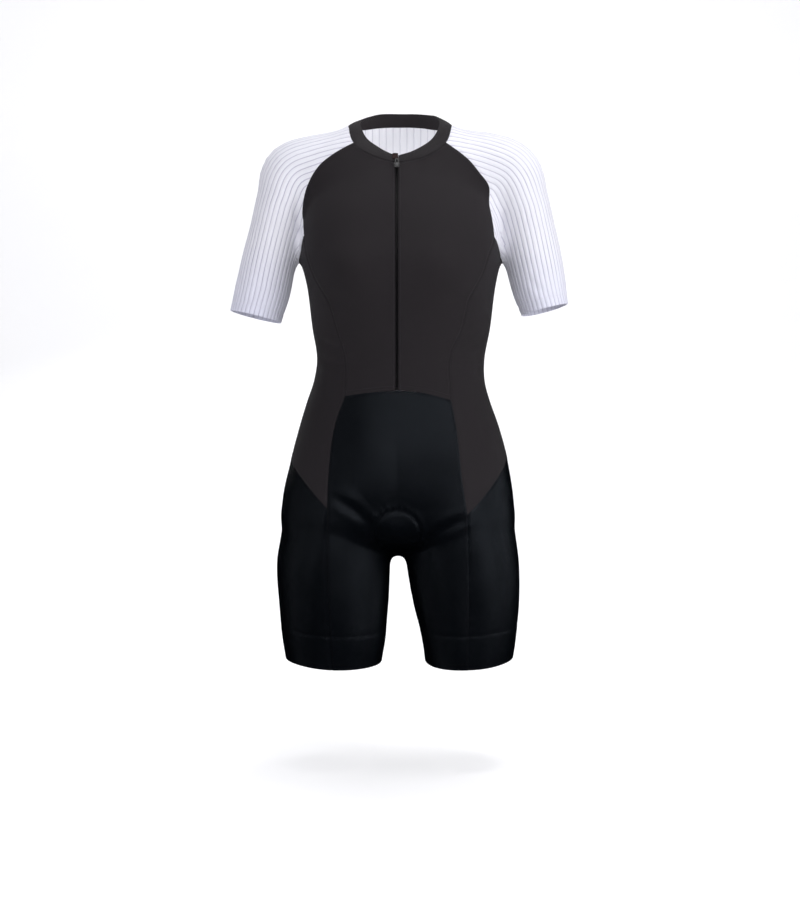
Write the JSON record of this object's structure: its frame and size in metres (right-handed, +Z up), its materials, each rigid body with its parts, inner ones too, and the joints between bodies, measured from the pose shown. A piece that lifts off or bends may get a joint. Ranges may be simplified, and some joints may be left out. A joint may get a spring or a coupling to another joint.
{
  "type": "triathlon suit",
  "caption": "Women's short-sleeved one-piece triathlon suit with front zip and raglan sleeves, hollow and filled out as if worn.",
  "frame": {"origin": "midway between the two shoulder points that carry the suit, at the level of the neck's sides", "axes": "+Z up along the body, -Y the way the wearer faces, +X towards the wearer's left"},
  "size_m": [0.5021, 0.2439, 0.8246],
  "materials": {
    "charcoal_jersey": "matte stretch jersey",
    "blue_black_lycra": "smooth stretch cloth with a soft sheen",
    "pinstripe_white": "white ribbed cloth with thin grey pinstripes",
    "zip_black": "satin black",
    "zip_cloth": "woven tape, very dark brown"
  },
  "bodies": {
    "suit": {"front_right": "charcoal_jersey", "front_left": "charcoal_jersey", "side_right": "charcoal_jersey", "side_left": "charcoal_jersey", "collar": "charcoal_jersey", "back": "pinstripe_white", "sleeve_right": "pinstripe_white", "sleeve_left": "pinstripe_white", "front_shorts": "blue_black_lycra", "leg_side_right": "blue_black_lycra", "leg_side_left": "blue_black_lycra", "seat_right": "blue_black_lycra", "seat_left": "blue_black_lycra", "zip_chain": "zip_black", "zip_bottom_stop": "zip_black", "zip_slider": "zip_black", "zip_tape": "zip_cloth", "zip_garage": "zip_cloth"},
    "pull_tab": {"zip_pull": "zip_black"}
  },
  "joints": [
    {"name": "pull_swing", "type": "hinge", "parent": "suit", "child": "pull_tab", "pos_m": [-0.0045, -0.06731, -0.055], "axis": [-1, 0, 0], "range_deg": [0, 150]}
  ]
}
